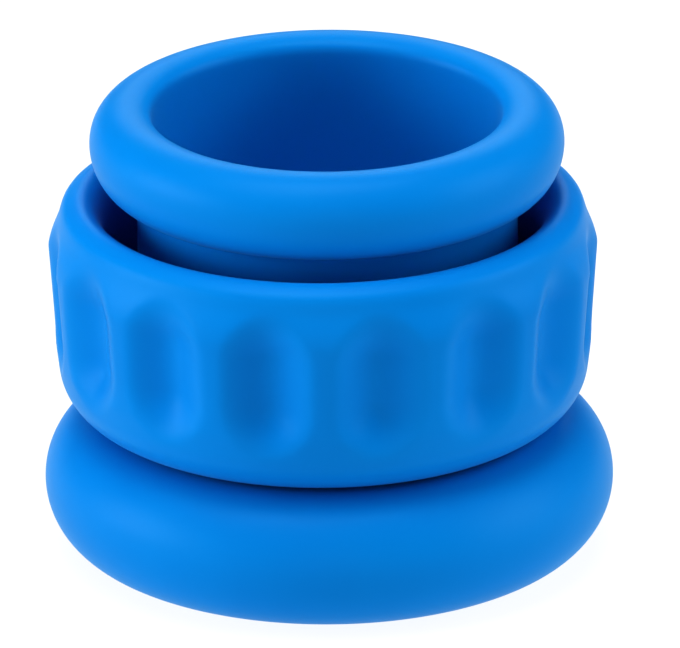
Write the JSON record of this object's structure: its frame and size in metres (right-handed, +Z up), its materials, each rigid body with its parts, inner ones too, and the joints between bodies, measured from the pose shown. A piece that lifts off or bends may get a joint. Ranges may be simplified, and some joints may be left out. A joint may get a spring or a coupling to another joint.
{
  "type": "flanged silicone sleeve",
  "caption": "Soft open-ended silicone sleeve with a rounded bead at each end and a loose fluted collar ring round its neck.",
  "frame": {"origin": "centre of the circle on which the lower bead stands", "axes": "+Z up along the bore, from the larger bead to the smaller one; -Y is the side with a land between two flutes"},
  "size_m": [0.06, 0.06, 0.0492],
  "materials": {
    "sleeve_silicone": "matte moulded silicone",
    "collar_silicone": "matte moulded silicone"
  },
  "bodies": {
    "sleeve": {"sleeve": "sleeve_silicone"},
    "collar_ring": {"collar_ring": "collar_silicone"}
  },
  "joints": [
    {"name": "collar_slide", "type": "slide", "parent": "sleeve", "child": "collar_ring", "axis": [0, 0, 1], "range_m": [0, 0.0025]}
  ]
}
